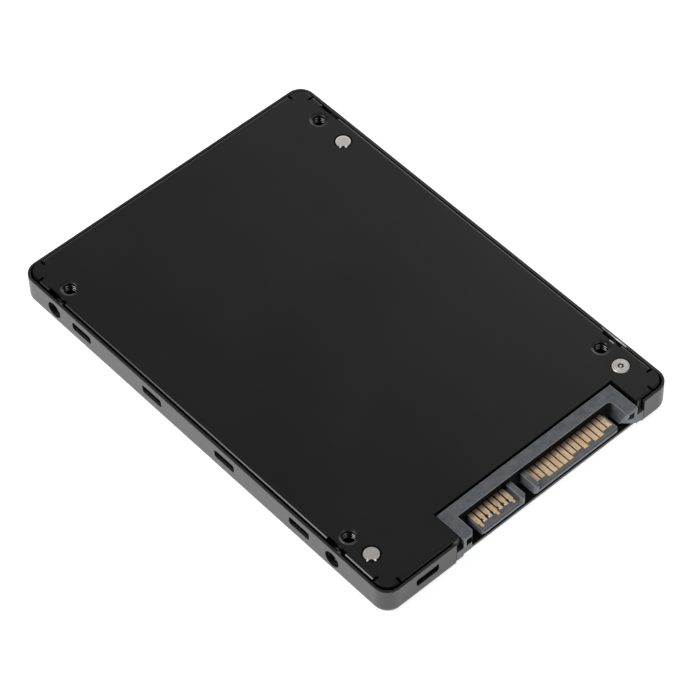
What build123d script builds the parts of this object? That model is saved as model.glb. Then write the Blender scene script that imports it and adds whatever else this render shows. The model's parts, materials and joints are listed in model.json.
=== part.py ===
from build123d import *
import os

# Solid state drive, 2.5 inch form factor, 7 mm high, lying on its label face.
# Millimetres. Z = 0 is the label face, +Z leaves the mounting face.
# The connector end faces -Y, with the signal segment towards -X.

os.makedirs("parts", exist_ok=True)

# ---------------------------------------------------------------- driving dimensions

drive_width = 69.85
drive_length = 100.2
drive_height = 7.0

# mounting holes, shared by the bottom and the side patterns
hole_spacing_x = 61.72
hole_spacing_y = 76.6
hole_front_y = -36.1
hole_center_y = hole_front_y + hole_spacing_y / 2
side_hole_z = 4.0
thread_bore_radius = 1.25  # M3 tapping bore

# two lengths closer than this count as equal when edges are picked
match_tolerance = 0.01

# label shell, a drawn tray of constant sheet thickness
shell_sheet = 0.55
shell_rim_z = 6.75
shell_corner_radius = 3.2
shell_bottom_radius = 1.9
shell_inner_x = drive_width / 2 - shell_sheet
side_opening_radius = 1.75
rim_edge_radius = 0.12

# snap slots in the shell wall, and the tabs of the cover that catch in them
slot_bottom_z = 3.4
slot_top_z = 5.4
slot_length = 5.3
slot_corner_radius = 0.6
slot_ys = [32.5 - 20.0 * i for i in range(4)]
front_slot_x = -25.15
rear_slot_xs = [-20.0, 20.0]
tab_length = 4.7
tab_reach = 0.57
tab_bottom_z = 3.9
tab_top_z = 5.3
tab_catch_height = 0.5

# base cover, stamped from sheet
cover_sheet = 0.6
cover_half_x = 34.05
cover_half_y = 49.35
cover_corner_radius = 2.8
cover_under_z = drive_height - cover_sheet
flange_bottom_z = 3.2
short_flange_bottom_z = 4.7
flange_step = 0.1
bend_outer_radius = 0.4
bend_inner_radius = 0.1
relief_width = 0.5
relief_depth = 1.3
relief_x = 30.7
relief_y = 45.8
hole_notch_length = 4.8
hole_notch_depth = 0.72

# collars of the bottom mounting holes
collar_outer_radius = 1.95
collar_bottom_z = 4.6
collar_lip_radius = 0.15
collar_exit_radius = 0.2
dimple_radius = 1.85
dimple_depth = 0.15

# cover screws, M2 with a thin flat head
screw_points = [(30.5, -41.5), (-30.5, -41.5), (30.5, 33.2)]
sealed_points = [(-30.5, -41.5), (30.5, 33.2)]
screw_head_radius = 1.65
screw_head_top_z = 6.95
screw_head_height = 0.35
screw_edge = 0.08
screw_shank_radius = 0.98
screw_end_z = 1.3
socket_core_radius = 0.5
socket_lobe_radius = 0.17
socket_lobe_offset = 0.45
socket_lobes = 6
socket_depth = 0.28
socket_pin_radius = 0.17
screw_seat_radius = 1.8
screw_boss_radius = 2.5
screw_boss_bottom_z = 6.0
screw_clear_radius = 1.2

# tamper seals
seal_radius = 1.46
seal_thickness = 0.05
seal_notch_radius = 0.6
seal_notch_offset = 1.7
seal_notch_angle = 229.0

# circuit board
board_thickness = 1.0
board_bottom_z = 2.4
board_top_z = board_bottom_z + board_thickness
board_half_x = 32.0
board_front_y = -45.05
board_rear_y = 46.5
board_corner_radius = 1.5
board_cutout_radius = 3.0

# board hardware
standoff_radius = 2.1
standoff_bore_radius = 1.0
spacer_radius = 1.9
nut_radius = 2.05
nut_length = 1.4

# connector, centred a little off the drive's centre line
connector_x = 4.8
connector_half_width = 21.365
connector_front_y = -50.1
mouth_back_y = -45.6
housing_rear_y = -43.1
housing_top_z = 6.6
housing_bottom_z = 1.9
arm_bottom_z = 2.4
arm_width = 2.6
arm_chamfer = 0.65
arm_edge = 0.12
guide_bevel_width = 2.1
guide_bevel_length = 1.9
guide_bevel_tip = 0.05
mouth_corner_radius = 0.9
wing_gap = 0.15
wing_depth = 2.2
wing_top_z = 4.2
pocket_width = 1.45
pocket_height = 1.8
pocket_center_z = 5.1
pocket_inset = 1.35
pocket_depth = 1.1

tongue_bottom_z = 3.47
tongue_top_z = 4.7
tongue_lead_in = 0.35
key_width = 1.1
key_top_z = 5.87
signal_left_x = -11.895
signal_right_x = -1.485
power_left_x = 0.925
power_right_x = 21.495

# contacts, 1.27 mm pitch
contact_pitch = 1.27
first_signal_x = -11.075
first_power_x = 2.895
signal_count = 7
power_count = 15
long_signals = {1, 4, 7}
long_powers = {3, 4, 5, 6, 7, 10, 12, 13}
long_contact_y = -49.3
short_contact_y = -48.7
contact_thickness = 0.2
contact_proud = 0.05
contact_line_z = tongue_top_z + contact_proud - contact_thickness / 2
contact_bend_y = -42.75
contact_foot_y = -41.7
contact_bend_radius = 0.25
signal_width = 0.9
signal_tip_width = 0.5
signal_tip_length = 0.95
power_width = 0.94
barb_width = 0.3
barb_length = 0.3
barb_thickness = 0.08
barb_setback = 0.3
barb_clearance = 0.08
barb_pocket_z = 4.4
contact_gap_depth = 0.35
signal_gap_front_y = -47.9

# board locks of the connector
lock_y = -44.2
lock_top_z = 5.4
lock_thickness = 0.25
lock_width = 2.2
lock_offset = 20.0

# connector opening in the shell wall and notch in the cover
opening_left_x = -18.3
opening_right_x = 28.0
opening_floor_y = -48.9
cover_notch_left_x = -16.9
cover_notch_right_x = 26.85
cover_notch_y = -42.7

# label recess in the label face
label_width = 58.0
label_length = 78.0
label_corner_radius = 2.0
label_thickness = 0.1
label_recess_depth = 0.12
label_recess_margin = 0.15

# chip packages
package_height = 1.2
package_edge = 0.08
flash_width = 14.0
flash_length = 18.0
flash_pitch_x = 20.0
flash_pitch_y = 21.0
flash_center_y = 14.0
controller_size = 17.0
controller_y = -22.0
dram_width = 9.0
dram_length = 13.0
dram_x = 20.5
shell_floor_z = shell_sheet
thermal_pad_margin = 1.0

# small board parts: width, length and height of each package
power_chip_size = (5.0, 5.0, 0.9)
firmware_size = (6.0, 5.0, 0.8)
crystal_size = (3.2, 2.5, 0.8)
fuse_size = (3.2, 1.6, 0.6)
diode_size = (2.6, 1.6, 1.0)
inductor_size = (4.0, 4.0, 2.0)
hold_up_size = (7.3, 4.3, 1.9)
ceramic_size = (1.6, 0.8, 0.8)
resistor_size = (0.5, 1.0, 0.35)
small_row_y = -34.0
inductor_x = -22.0
inductor_pitch = 6.0
hold_up_y = 41.0
hold_up_pitch = 10.0
ceramic_x = 11.5
ceramic_pitch = 2.0
first_resistor_x = -9.0
resistor_y = -39.0
resistor_pitch = 2.5
resistor_count = 13

mounting_points = [
    (side * hole_spacing_x / 2, hole_center_y + end * hole_spacing_y / 2)
    for side in (-1, 1)
    for end in (-1, 1)
]
hole_ys = [hole_front_y, hole_front_y + hole_spacing_y]


# ---------------------------------------------------------------- shared helpers


def side_wall_plane(side, y, x):
    """Vertical plane across a long side: local X points outward, local Y up."""
    return Plane(origin=(side * x, y, 0), x_dir=(side, 0, 0), z_dir=(0, -side, 0))


def end_wall_plane(end, x, y):
    """Vertical plane across a short end: local X points outward, local Y up."""
    return Plane(origin=(x, end * y, 0), x_dir=(0, end, 0), z_dir=(end, 0, 0))


def tab_profile():
    """Wedge of a snap tab: flat catch on top, sloping back to the flange below."""
    return Polyline(
        (-cover_sheet / 2, tab_bottom_z),
        (0, tab_bottom_z),
        (tab_reach, tab_top_z - tab_catch_height),
        (tab_reach, tab_top_z),
        (-cover_sheet / 2, tab_top_z),
        close=True,
    )


def on_bend(edge, z):
    """True for a straight edge on one of the cover's bend lines at height z."""
    center = edge.center()
    inset = cover_sheet if z < drive_height else 0
    at_side = abs(abs(center.X) - cover_half_x + inset) < match_tolerance
    at_end = abs(abs(center.Y) - cover_half_y + inset) < match_tolerance
    at_height = abs(center.Z - z) < match_tolerance
    return at_height and edge.length > relief_depth and (at_side or at_end)


def chip(width, length, height, points, z):
    """Moulded packages with slightly broken edges; a negative height hangs below the board."""
    with BuildPart() as package:
        with BuildSketch(Plane.XY.offset(z)):
            with Locations(*points):
                Rectangle(width, length)
        extrude(amount=height)
        far_side = -1 if height > 0 else 0
        chamfer(package.faces().group_by(Axis.Z)[far_side].edges(), package_edge)
    return package.part


def bent_strip(points, x, width, thickness, bend_radius):
    """Metal strip of constant thickness that follows a bent line in the YZ plane."""
    with BuildPart() as strip:
        with BuildSketch(Plane.YZ.offset(x)):
            with BuildLine() as path:
                FilletPolyline(*points, radius=bend_radius)
            trace(path.edges(), line_width=thickness)
        extrude(amount=width / 2, both=True)
    return strip.part


def finish_part(part, name):
    """Labels a finished piece and writes it."""
    part.label = name
    export_step(part, f"parts/{name}.step")


# ---------------------------------------------------------------- label shell

with BuildPart() as label_shell:
    with BuildSketch():
        RectangleRounded(drive_width, drive_length, shell_corner_radius)
    extrude(amount=shell_rim_z)
    fillet(label_shell.faces().sort_by(Axis.Z)[0].edges(), shell_bottom_radius)
    offset(
        amount=-shell_sheet,
        openings=label_shell.faces().sort_by(Axis.Z)[-1],
        kind=Kind.INTERSECTION,
    )
    fillet(label_shell.faces().sort_by(Axis.Z)[-1].edges(), rim_edge_radius)

    # clearance openings in front of the side mounting nuts
    with BuildSketch(Plane.YZ):
        with Locations(*[(y, side_hole_z) for y in hole_ys]):
            Circle(side_opening_radius)
    extrude(amount=drive_width, both=True, mode=Mode.SUBTRACT)

    # snap slots in the long sides
    with BuildSketch(Plane.YZ):
        with Locations(*[(y, (slot_bottom_z + slot_top_z) / 2) for y in slot_ys]):
            RectangleRounded(slot_length, slot_top_z - slot_bottom_z, slot_corner_radius)
    extrude(amount=drive_width, both=True, mode=Mode.SUBTRACT)

    # snap slots in the two ends
    for end, xs in ((-1, [front_slot_x]), (1, rear_slot_xs)):
        with BuildSketch(Plane.XZ.offset(-end * drive_length / 2)):
            with Locations(*[(x, (slot_bottom_z + slot_top_z) / 2) for x in xs]):
                RectangleRounded(slot_length, slot_top_z - slot_bottom_z, slot_corner_radius)
        extrude(amount=2 * shell_sheet, both=True, mode=Mode.SUBTRACT)

    # the connector opening takes the end wall and its bend away, down to the floor
    with BuildSketch():
        with Locations(((opening_left_x + opening_right_x) / 2, opening_floor_y)):
            Rectangle(
                opening_right_x - opening_left_x,
                2 * shell_bottom_radius,
                align=(Align.CENTER, Align.MAX),
            )
    extrude(amount=drive_height, mode=Mode.SUBTRACT)

    # shallow recess for the label
    with BuildSketch():
        RectangleRounded(
            label_width + label_recess_margin,
            label_length + label_recess_margin,
            label_corner_radius,
        )
    extrude(amount=label_recess_depth, mode=Mode.SUBTRACT)

finish_part(label_shell.part, "label_shell")


# ---------------------------------------------------------------- base cover

hole_notch_edges = sorted(
    y + half * hole_notch_length / 2 for y in hole_ys for half in (-1, 1)
)
flange_ys = [-relief_y + relief_width / 2, *hole_notch_edges, relief_y - relief_width / 2]
flange_x_end = relief_x - relief_width / 2
front_flanges = [
    (-flange_x_end, opening_left_x - flange_step, flange_bottom_z),
    (opening_left_x - flange_step, cover_notch_left_x, short_flange_bottom_z),
    (cover_notch_right_x, flange_x_end, short_flange_bottom_z),
]

with BuildPart() as base_cover:
    with BuildSketch(Plane.XY.offset(cover_under_z)):
        RectangleRounded(2 * cover_half_x, 2 * cover_half_y, cover_corner_radius)
    extrude(amount=cover_sheet)

    # side flanges: three lengths a side, parted by the notches at the side holes
    with BuildSketch(Plane.XY.offset(flange_bottom_z)):
        for side in (-1, 1):
            for y0, y1 in zip(flange_ys[::2], flange_ys[1::2]):
                with Locations((side * (cover_half_x - cover_sheet / 2), (y0 + y1) / 2)):
                    Rectangle(cover_sheet, y1 - y0)
        with Locations((0, cover_half_y - cover_sheet / 2)):
            Rectangle(2 * flange_x_end, cover_sheet)
    extrude(amount=drive_height - flange_bottom_z)

    # front flanges, shorter beside the connector
    for x0, x1, bottom_z in front_flanges:
        with BuildSketch(Plane.XY.offset(bottom_z)):
            with Locations(((x0 + x1) / 2, cover_sheet / 2 - cover_half_y)):
                Rectangle(x1 - x0, cover_sheet)
        extrude(amount=drive_height - bottom_z)

    # relief notches that part the bent edges from the flat corner lobes
    with BuildSketch(Plane.XY.offset(cover_under_z)):
        for sx in (-1, 1):
            for sy in (-1, 1):
                with Locations((sx * relief_x, sy * cover_half_y)):
                    SlotOverall(2 * relief_depth, relief_width, rotation=90)
                with Locations((sx * cover_half_x, sy * relief_y)):
                    SlotOverall(2 * relief_depth, relief_width)
        for sx in (-1, 1):
            with Locations(*[(sx * cover_half_x, y) for y in hole_ys]):
                Rectangle(2 * hole_notch_depth, hole_notch_length)
        with Locations(((cover_notch_left_x + cover_notch_right_x) / 2, cover_notch_y)):
            Rectangle(
                cover_notch_right_x - cover_notch_left_x,
                drive_length,
                align=(Align.CENTER, Align.MAX),
            )
    extrude(amount=cover_sheet, mode=Mode.SUBTRACT)

    # rounded bends between the flat and the flanges, outside and inside
    straight = base_cover.edges().filter_by(GeomType.LINE)
    fillet(straight.filter_by(lambda e: on_bend(e, drive_height)), bend_outer_radius)
    straight = base_cover.edges().filter_by(GeomType.LINE)
    fillet(straight.filter_by(lambda e: on_bend(e, cover_under_z)), bend_inner_radius)

    # snap tabs on the long sides
    for side in (-1, 1):
        for y in slot_ys:
            with BuildSketch(side_wall_plane(side, y, cover_half_x)):
                with BuildLine():
                    tab_profile()
                make_face()
            extrude(amount=tab_length / 2, both=True)

    # snap tabs on the two ends
    for end, xs in ((-1, [front_slot_x]), (1, rear_slot_xs)):
        for x in xs:
            with BuildSketch(end_wall_plane(end, x, cover_half_y)):
                with BuildLine():
                    tab_profile()
                make_face()
            extrude(amount=tab_length / 2, both=True)

    # extruded collars of the mounting holes
    with BuildSketch(Plane.XY.offset(collar_bottom_z)):
        with Locations(*mounting_points):
            Circle(collar_outer_radius)
    extrude(amount=drive_height - collar_bottom_z)
    with Locations(*[(x, y, drive_height) for x, y in mounting_points]):
        Cone(
            bottom_radius=thread_bore_radius,
            top_radius=dimple_radius,
            height=dimple_depth,
            align=(Align.CENTER, Align.CENTER, Align.MAX),
            mode=Mode.SUBTRACT,
        )
    with BuildSketch(Plane.XY.offset(collar_bottom_z)):
        with Locations(*mounting_points):
            Circle(thread_bore_radius)
    extrude(amount=drive_height, mode=Mode.SUBTRACT)
    bores = base_cover.edges().filter_by(GeomType.CIRCLE)
    bores = bores.filter_by(lambda e: abs(e.radius - thread_bore_radius) < match_tolerance)
    fillet(bores.group_by(Axis.Z)[-1], collar_lip_radius)
    fillet(bores.group_by(Axis.Z)[0], collar_exit_radius)

    # pressed seats of the cover screws
    with BuildSketch(Plane.XY.offset(screw_boss_bottom_z)):
        with Locations(*screw_points):
            Circle(screw_boss_radius)
    extrude(amount=drive_height - screw_boss_bottom_z)
    with BuildSketch(Plane.XY.offset(drive_height)):
        with Locations(*screw_points):
            Circle(screw_seat_radius)
    extrude(amount=screw_head_top_z - screw_head_height - drive_height, mode=Mode.SUBTRACT)
    with BuildSketch(Plane.XY.offset(screw_boss_bottom_z)):
        with Locations(*screw_points):
            Circle(screw_clear_radius)
    extrude(amount=cover_sheet, mode=Mode.SUBTRACT)

finish_part(base_cover.part, "base_cover")


# ---------------------------------------------------------------- product label

with BuildPart() as product_label:
    with BuildSketch(Plane.XY.offset(label_recess_depth)):
        RectangleRounded(label_width, label_length, label_corner_radius)
    extrude(amount=-label_thickness)

finish_part(product_label.part, "product_label")


# ---------------------------------------------------------------- circuit board and its hardware

with BuildPart() as circuit_board:
    with BuildSketch(Plane.XY.offset(board_bottom_z)):
        with Locations((0, (board_front_y + board_rear_y) / 2)):
            RectangleRounded(
                2 * board_half_x, board_rear_y - board_front_y, board_corner_radius
            )
        with Locations(*screw_points):
            Circle(screw_clear_radius, mode=Mode.SUBTRACT)
        with Locations(*mounting_points):
            Circle(board_cutout_radius, mode=Mode.SUBTRACT)
    extrude(amount=board_thickness)

finish_part(circuit_board.part, "circuit_board")

with BuildPart() as standoffs:
    with BuildSketch(Plane.XY.offset(shell_floor_z)):
        with Locations(*screw_points):
            Circle(standoff_radius)
            Circle(standoff_bore_radius, mode=Mode.SUBTRACT)
    extrude(amount=board_bottom_z - shell_floor_z)

finish_part(standoffs.part, "standoffs")

with BuildPart() as board_spacers:
    with BuildSketch(Plane.XY.offset(board_top_z)):
        with Locations(*screw_points):
            Circle(spacer_radius)
            Circle(screw_clear_radius, mode=Mode.SUBTRACT)
    extrude(amount=screw_boss_bottom_z - board_top_z)

finish_part(board_spacers.part, "board_spacers")

with BuildPart() as side_mounting_nuts:
    for side in (-1, 1):
        with BuildSketch(Plane.YZ.offset(side * shell_inner_x)):
            with Locations(*[(y, side_hole_z) for y in hole_ys]):
                Circle(nut_radius)
                Circle(thread_bore_radius, mode=Mode.SUBTRACT)
        extrude(amount=-side * nut_length)

finish_part(side_mounting_nuts.part, "side_mounting_nuts")


# ---------------------------------------------------------------- cover screws and seals

with BuildPart() as cover_screws:
    with BuildSketch(Plane.XY.offset(screw_head_top_z)):
        with Locations(*screw_points):
            Circle(screw_head_radius)
    extrude(amount=-screw_head_height)
    chamfer(cover_screws.faces().group_by(Axis.Z)[-1].edges(), screw_edge)
    with BuildSketch(Plane.XY.offset(screw_head_top_z - screw_head_height)):
        with Locations(*screw_points):
            Circle(screw_shank_radius)
    extrude(amount=screw_end_z - screw_head_top_z + screw_head_height)

    # six-lobed socket with a centre pin
    with BuildSketch(Plane.XY.offset(screw_head_top_z)):
        with Locations(*screw_points):
            Circle(socket_core_radius)
            with PolarLocations(socket_lobe_offset, socket_lobes):
                Circle(socket_lobe_radius)
            Circle(socket_pin_radius, mode=Mode.SUBTRACT)
    extrude(amount=-socket_depth, mode=Mode.SUBTRACT)

finish_part(cover_screws.part, "cover_screws")

# each seal is a foil disc with a bite out of its rim, facing the same way on both
with BuildPart() as tamper_seals:
    with BuildSketch(Plane.XY.offset(screw_head_top_z)):
        with Locations(*sealed_points):
            Circle(seal_radius)
            with PolarLocations(seal_notch_offset, 1, start_angle=seal_notch_angle):
                Circle(seal_notch_radius, mode=Mode.SUBTRACT)
    extrude(amount=seal_thickness)

finish_part(tamper_seals.part, "tamper_seals")


# ---------------------------------------------------------------- connector contacts


def contact_path(tip_y):
    """Line of a contact: along the tongue, out at the back, down to its foot on the board."""
    foot_z = board_top_z + contact_thickness / 2
    return [
        (tip_y, contact_line_z),
        (contact_bend_y, contact_line_z),
        (contact_bend_y, foot_z),
        (contact_foot_y, foot_z),
    ]


def contact_strip(tip_y, x, width):
    """One contact strip, bent at the back of the connector."""
    path = contact_path(tip_y)
    return bent_strip(path, x, width, contact_thickness, contact_bend_radius)


signal_xs = [first_signal_x + i * contact_pitch for i in range(signal_count)]
power_xs = [first_power_x + i * contact_pitch for i in range(power_count)]

# barbs stand beside the signal tips, one fewer than the contacts
barb_points = [
    (x - (signal_tip_width + barb_width) / 2, short_contact_y + barb_setback)
    for x in signal_xs[1:]
]

with BuildPart() as signal_contacts:
    for number, x in enumerate(signal_xs, start=1):
        tip_y = long_contact_y if number in long_signals else short_contact_y
        add(contact_strip(tip_y, x, signal_tip_width))
        add(contact_strip(tip_y + signal_tip_length, x, signal_width))
    with BuildSketch(Plane.XY.offset(contact_line_z - contact_thickness / 2)):
        with Locations(*barb_points):
            Rectangle(barb_width, barb_length)
    extrude(amount=barb_thickness)

finish_part(signal_contacts.part, "signal_contacts")

with BuildPart() as power_contacts:
    for number, x in enumerate(power_xs, start=1):
        tip_y = long_contact_y if number in long_powers else short_contact_y
        add(contact_strip(tip_y, x, power_width))

finish_part(power_contacts.part, "power_contacts")

lock_foot_z = board_top_z + lock_thickness / 2
lock_path = [
    (lock_y, lock_top_z),
    (lock_y, lock_foot_z),
    (contact_foot_y, lock_foot_z),
]

with BuildPart() as connector_board_locks:
    for side in (-1, 1):
        x = connector_x + side * lock_offset
        add(bent_strip(lock_path, x, lock_width, lock_thickness, contact_bend_radius))

finish_part(connector_board_locks.part, "connector_board_locks")


# ---------------------------------------------------------------- connector housing

housing_left_x = connector_x - connector_half_width
housing_right_x = connector_x + connector_half_width
mouth_left_x = housing_left_x + arm_width
mouth_right_x = housing_right_x - arm_width


def housing_outline(rear_y):
    """U-shaped plan of the housing: back wall and two arms, one with a broken inner corner."""
    return Polyline(
        (housing_left_x, rear_y),
        (housing_left_x, connector_front_y),
        (mouth_left_x - arm_chamfer, connector_front_y),
        (mouth_left_x, connector_front_y + arm_chamfer),
        (mouth_left_x, mouth_back_y),
        (mouth_right_x, mouth_back_y),
        (mouth_right_x, connector_front_y),
        (housing_right_x, connector_front_y),
        (housing_right_x, rear_y),
        close=True,
    )


with BuildPart() as connector_housing:
    # the two tongues, each an L with its upright leg at the inner end
    with BuildSketch(Plane.XZ.offset(-connector_front_y)):
        for inner_x, outer_x in (
            (signal_right_x, signal_left_x),
            (power_left_x, power_right_x),
        ):
            toward_outer = 1 if outer_x > inner_x else -1
            leg_x = inner_x + toward_outer * key_width
            with BuildLine():
                Polyline(
                    (inner_x, tongue_bottom_z),
                    (outer_x, tongue_bottom_z),
                    (outer_x, tongue_top_z),
                    (leg_x, tongue_top_z),
                    (leg_x, key_top_z),
                    (inner_x, key_top_z),
                    close=True,
                )
            make_face()
    extrude(amount=connector_front_y - mouth_back_y)
    chamfer(connector_housing.faces().group_by(Axis.Y)[0].edges(), tongue_lead_in)

    # U-shaped body: full depth above the board, cut short in front of the board edge below
    for rear_y, z0, z1 in (
        (housing_rear_y, board_top_z, housing_top_z),
        (board_front_y, arm_bottom_z, board_top_z),
    ):
        with BuildSketch(Plane.XY.offset(z0)):
            with BuildLine():
                housing_outline(rear_y)
            make_face()
        extrude(amount=z1 - z0)

    # rounded inner corner of the mouth on the power side
    inner_corner = connector_housing.edges().filter_by(Axis.Z)
    inner_corner = inner_corner.filter_by(
        lambda e: abs(e.center().X - mouth_right_x) < match_tolerance
        and abs(e.center().Y - mouth_back_y) < match_tolerance
    )
    fillet(inner_corner, mouth_corner_radius)

    # broken front edges of the arm tops
    front_tops = connector_housing.edges().filter_by(Axis.X)
    front_tops = front_tops.filter_by(
        lambda e: abs(e.center().Y - connector_front_y) < match_tolerance
        and abs(e.center().Z - housing_top_z) < match_tolerance
    )
    chamfer(front_tops, arm_edge)

    # guide bevel of the power side arm, widening downward
    for z, width, length in (
        (arm_bottom_z, guide_bevel_width, guide_bevel_length),
        (housing_top_z, guide_bevel_tip, guide_bevel_tip),
    ):
        with BuildSketch(Plane.XY.offset(z)):
            with BuildLine():
                Polyline(
                    (mouth_right_x, connector_front_y),
                    (mouth_right_x + width, connector_front_y),
                    (mouth_right_x, connector_front_y + length),
                    close=True,
                )
            make_face()
    loft(mode=Mode.SUBTRACT)

    # low wings that fill the shell opening beside the arms
    with BuildSketch(Plane.XY.offset(housing_bottom_z)):
        for wall_x, tip_x in (
            (housing_left_x, opening_left_x + wing_gap),
            (housing_right_x, opening_right_x - wing_gap),
        ):
            with Locations(((wall_x + tip_x) / 2, connector_front_y)):
                Rectangle(
                    abs(tip_x - wall_x), wing_depth, align=(Align.CENTER, Align.MIN)
                )
    extrude(amount=wing_top_z - housing_bottom_z)

    # moulding pockets in the arm fronts
    with BuildSketch(Plane.XZ.offset(-connector_front_y)):
        for x in (housing_left_x + pocket_inset, housing_right_x - pocket_inset):
            with Locations((x, pocket_center_z)):
                Rectangle(pocket_width, pocket_height)
    extrude(amount=-pocket_depth, mode=Mode.SUBTRACT)

    # grooves between neighbouring contacts
    for xs, width, front_y in (
        (signal_xs, signal_width, signal_gap_front_y),
        (power_xs, power_width, short_contact_y),
    ):
        with BuildSketch(Plane.XY.offset(tongue_top_z)):
            with Locations(*[(x + contact_pitch / 2, mouth_back_y) for x in xs[:-1]]):
                Rectangle(
                    contact_pitch - width,
                    mouth_back_y - front_y,
                    align=(Align.CENTER, Align.MAX),
                )
        extrude(amount=-contact_gap_depth, mode=Mode.SUBTRACT)

    # clearance beside the signal tips
    with BuildSketch(Plane.XY.offset(barb_pocket_z)):
        with Locations(*barb_points):
            Rectangle(barb_width, barb_length + 2 * barb_clearance)
    extrude(amount=tongue_top_z - barb_pocket_z, mode=Mode.SUBTRACT)

    # seats of the contacts and board locks
    add(signal_contacts.part, mode=Mode.SUBTRACT)
    add(power_contacts.part, mode=Mode.SUBTRACT)
    add(connector_board_locks.part, mode=Mode.SUBTRACT)

finish_part(connector_housing.part, "connector_housing")


# ---------------------------------------------------------------- chips on the board

flash_points = [
    (column * flash_pitch_x / 2, flash_center_y + row * flash_pitch_y / 2)
    for row in (-1, 1)
    for column in (-1, 1)
]

for number, point in enumerate(flash_points, start=1):
    above = chip(flash_width, flash_length, package_height, [point], board_top_z)
    finish_part(above, f"nand_flash_{number}")
    below = chip(flash_width, flash_length, -package_height, [point], board_bottom_z)
    finish_part(below, f"nand_flash_{number + len(flash_points)}")

controller_points = [(0, controller_y)]
controller = chip(
    controller_size, controller_size, package_height, controller_points, board_top_z
)
finish_part(controller, "controller")

dram_points = [(dram_x, controller_y)]
dram_1 = chip(dram_width, dram_length, package_height, dram_points, board_top_z)
finish_part(dram_1, "dram_1")
dram_2 = chip(dram_width, dram_length, -package_height, dram_points, board_bottom_z)
finish_part(dram_2, "dram_2")

inductor_points = [(inductor_x, controller_y + row * inductor_pitch) for row in (-1, 0, 1)]
hold_up_points = [(column * hold_up_pitch, hold_up_y) for column in (-1.5, -0.5, 0.5, 1.5)]
ceramic_points = [
    (side * ceramic_x, controller_y + row * ceramic_pitch)
    for side in (-1, 1)
    for row in range(-3, 4)
]
resistor_points = [
    (first_resistor_x + i * resistor_pitch, resistor_y) for i in range(resistor_count)
]

# smaller parts on the cover side: name, width, length and height, places
small_parts = [
    ("power_management_chip", power_chip_size, [(-21.0, small_row_y)]),
    ("firmware_flash", firmware_size, [(8.0, small_row_y)]),
    ("timing_crystal", crystal_size, [(-11.0, small_row_y)]),
    ("input_fuse", fuse_size, [(17.0, small_row_y)]),
    ("surge_diode", diode_size, [(22.5, small_row_y)]),
    ("power_inductors", inductor_size, inductor_points),
    ("hold_up_capacitors", hold_up_size, hold_up_points),
    ("ceramic_capacitors", ceramic_size, ceramic_points),
    ("resistors", resistor_size, resistor_points),
]
for name, (width, length, height), points in small_parts:
    finish_part(chip(width, length, height, points, board_top_z), name)


# ---------------------------------------------------------------- thermal pads


def thermal_pad(width, length, points, z0, z1):
    """Soft pads that fill the gap between packages and the metal."""
    with BuildPart() as pad:
        with BuildSketch(Plane.XY.offset(z0)):
            with Locations(*points):
                Rectangle(width, length)
        extrude(amount=z1 - z0)
    return pad.part


chip_top_z = board_top_z + package_height
chip_bottom_z = board_bottom_z - package_height
flash_pad_width = flash_width - 2 * thermal_pad_margin
flash_pad_length = flash_pitch_y + flash_length - 2 * thermal_pad_margin
flash_pad_points = [(side * flash_pitch_x / 2, flash_center_y) for side in (-1, 1)]
controller_pad = controller_size - 2 * thermal_pad_margin

finish_part(
    thermal_pad(controller_pad, controller_pad, controller_points, chip_top_z, cover_under_z),
    "controller_thermal_pad",
)
finish_part(
    thermal_pad(
        flash_pad_width, flash_pad_length, flash_pad_points, chip_top_z, cover_under_z
    ),
    "flash_thermal_pads_cover_side",
)
finish_part(
    thermal_pad(
        flash_pad_width, flash_pad_length, flash_pad_points, shell_floor_z, chip_bottom_z
    ),
    "flash_thermal_pads_shell_side",
)
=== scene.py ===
import json
import math

import bmesh
import bpy
from mathutils import Matrix, Vector


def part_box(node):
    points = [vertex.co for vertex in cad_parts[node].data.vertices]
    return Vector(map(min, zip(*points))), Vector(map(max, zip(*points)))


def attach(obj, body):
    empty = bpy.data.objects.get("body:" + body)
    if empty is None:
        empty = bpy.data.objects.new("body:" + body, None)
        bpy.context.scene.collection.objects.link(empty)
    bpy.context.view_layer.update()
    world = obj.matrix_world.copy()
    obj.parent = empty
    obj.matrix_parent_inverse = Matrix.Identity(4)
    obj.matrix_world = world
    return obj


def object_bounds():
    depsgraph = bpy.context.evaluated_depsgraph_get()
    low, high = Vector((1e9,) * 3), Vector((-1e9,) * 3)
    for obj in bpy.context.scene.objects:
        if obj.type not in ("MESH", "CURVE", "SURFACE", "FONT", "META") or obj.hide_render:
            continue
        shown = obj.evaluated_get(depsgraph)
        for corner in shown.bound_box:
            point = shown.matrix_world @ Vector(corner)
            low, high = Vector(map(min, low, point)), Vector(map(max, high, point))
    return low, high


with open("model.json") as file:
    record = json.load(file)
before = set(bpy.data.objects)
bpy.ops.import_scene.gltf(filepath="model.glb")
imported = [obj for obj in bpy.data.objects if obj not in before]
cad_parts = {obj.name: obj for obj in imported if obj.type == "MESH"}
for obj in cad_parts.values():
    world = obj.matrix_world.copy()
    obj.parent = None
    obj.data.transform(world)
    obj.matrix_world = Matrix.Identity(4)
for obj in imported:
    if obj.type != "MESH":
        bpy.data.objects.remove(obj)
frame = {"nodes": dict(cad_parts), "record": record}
cad_low, cad_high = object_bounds()
nodes = frame["nodes"]
ROOT = "root"
MM = 0.001


# ---------------------------------------------------------------- shader building

# how alike the true and the rounded normal are where an edge gets no painted highlight and where it
# gets the full one
NO_EDGE_HIGHLIGHT = 0.995
FULL_EDGE_HIGHLIGHT = 0.8
# ambient occlusion where a surface lies open and where others close it in
OPEN = 0.85
CLOSED_IN = 0.25


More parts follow.
